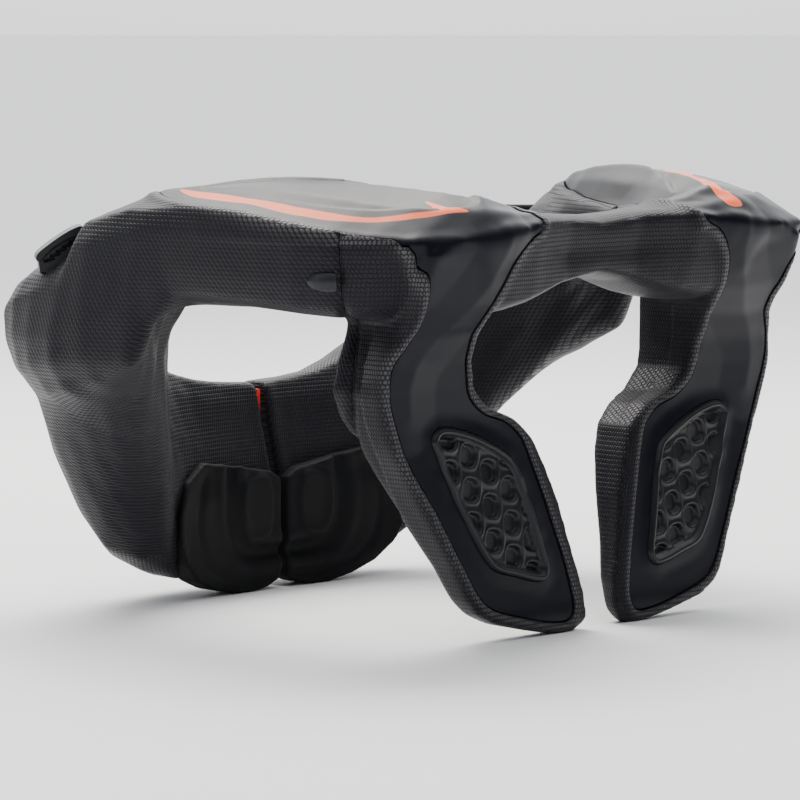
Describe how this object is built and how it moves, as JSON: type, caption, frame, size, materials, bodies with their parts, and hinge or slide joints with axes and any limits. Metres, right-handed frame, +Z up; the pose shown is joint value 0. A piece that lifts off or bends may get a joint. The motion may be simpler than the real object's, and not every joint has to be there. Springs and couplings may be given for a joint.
{
  "type": "motocross neck brace",
  "caption": "Closed padded collar for off-road riding, with thin moulded covers, two front legs that rest on the chest and two rear pads that rest on the back.",
  "frame": {"origin": "middle of the bounding box, on the surface that the brace stands on", "axes": "+X to the wearer's left, +Y to the wearer's back, +Z up"},
  "size_m": [0.299, 0.2208, 0.172],
  "materials": {
    "textile": "charcoal knit with small embossed scales",
    "cover": "satin moulded polymer with plain orange stripes",
    "insert": "matt rubber with rounded pockets",
    "back_pad": "black brushed fabric with moulded channels",
    "clasp": "satin plastic",
    "link": "red elastic strip"
  },
  "bodies": {
    "root": {"front_pad": "textile", "side_pad_left": "textile", "shell_left": "cover", "vent_insert_left": "insert", "back_pad_left": "back_pad", "clasp_left": "clasp", "side_tab_left": "clasp", "side_pad_right": "textile", "shell_right": "cover", "vent_insert_right": "insert", "back_pad_right": "back_pad", "clasp_right": "clasp", "side_tab_right": "clasp", "rear_link": "link"}
  },
  "joints": []
}
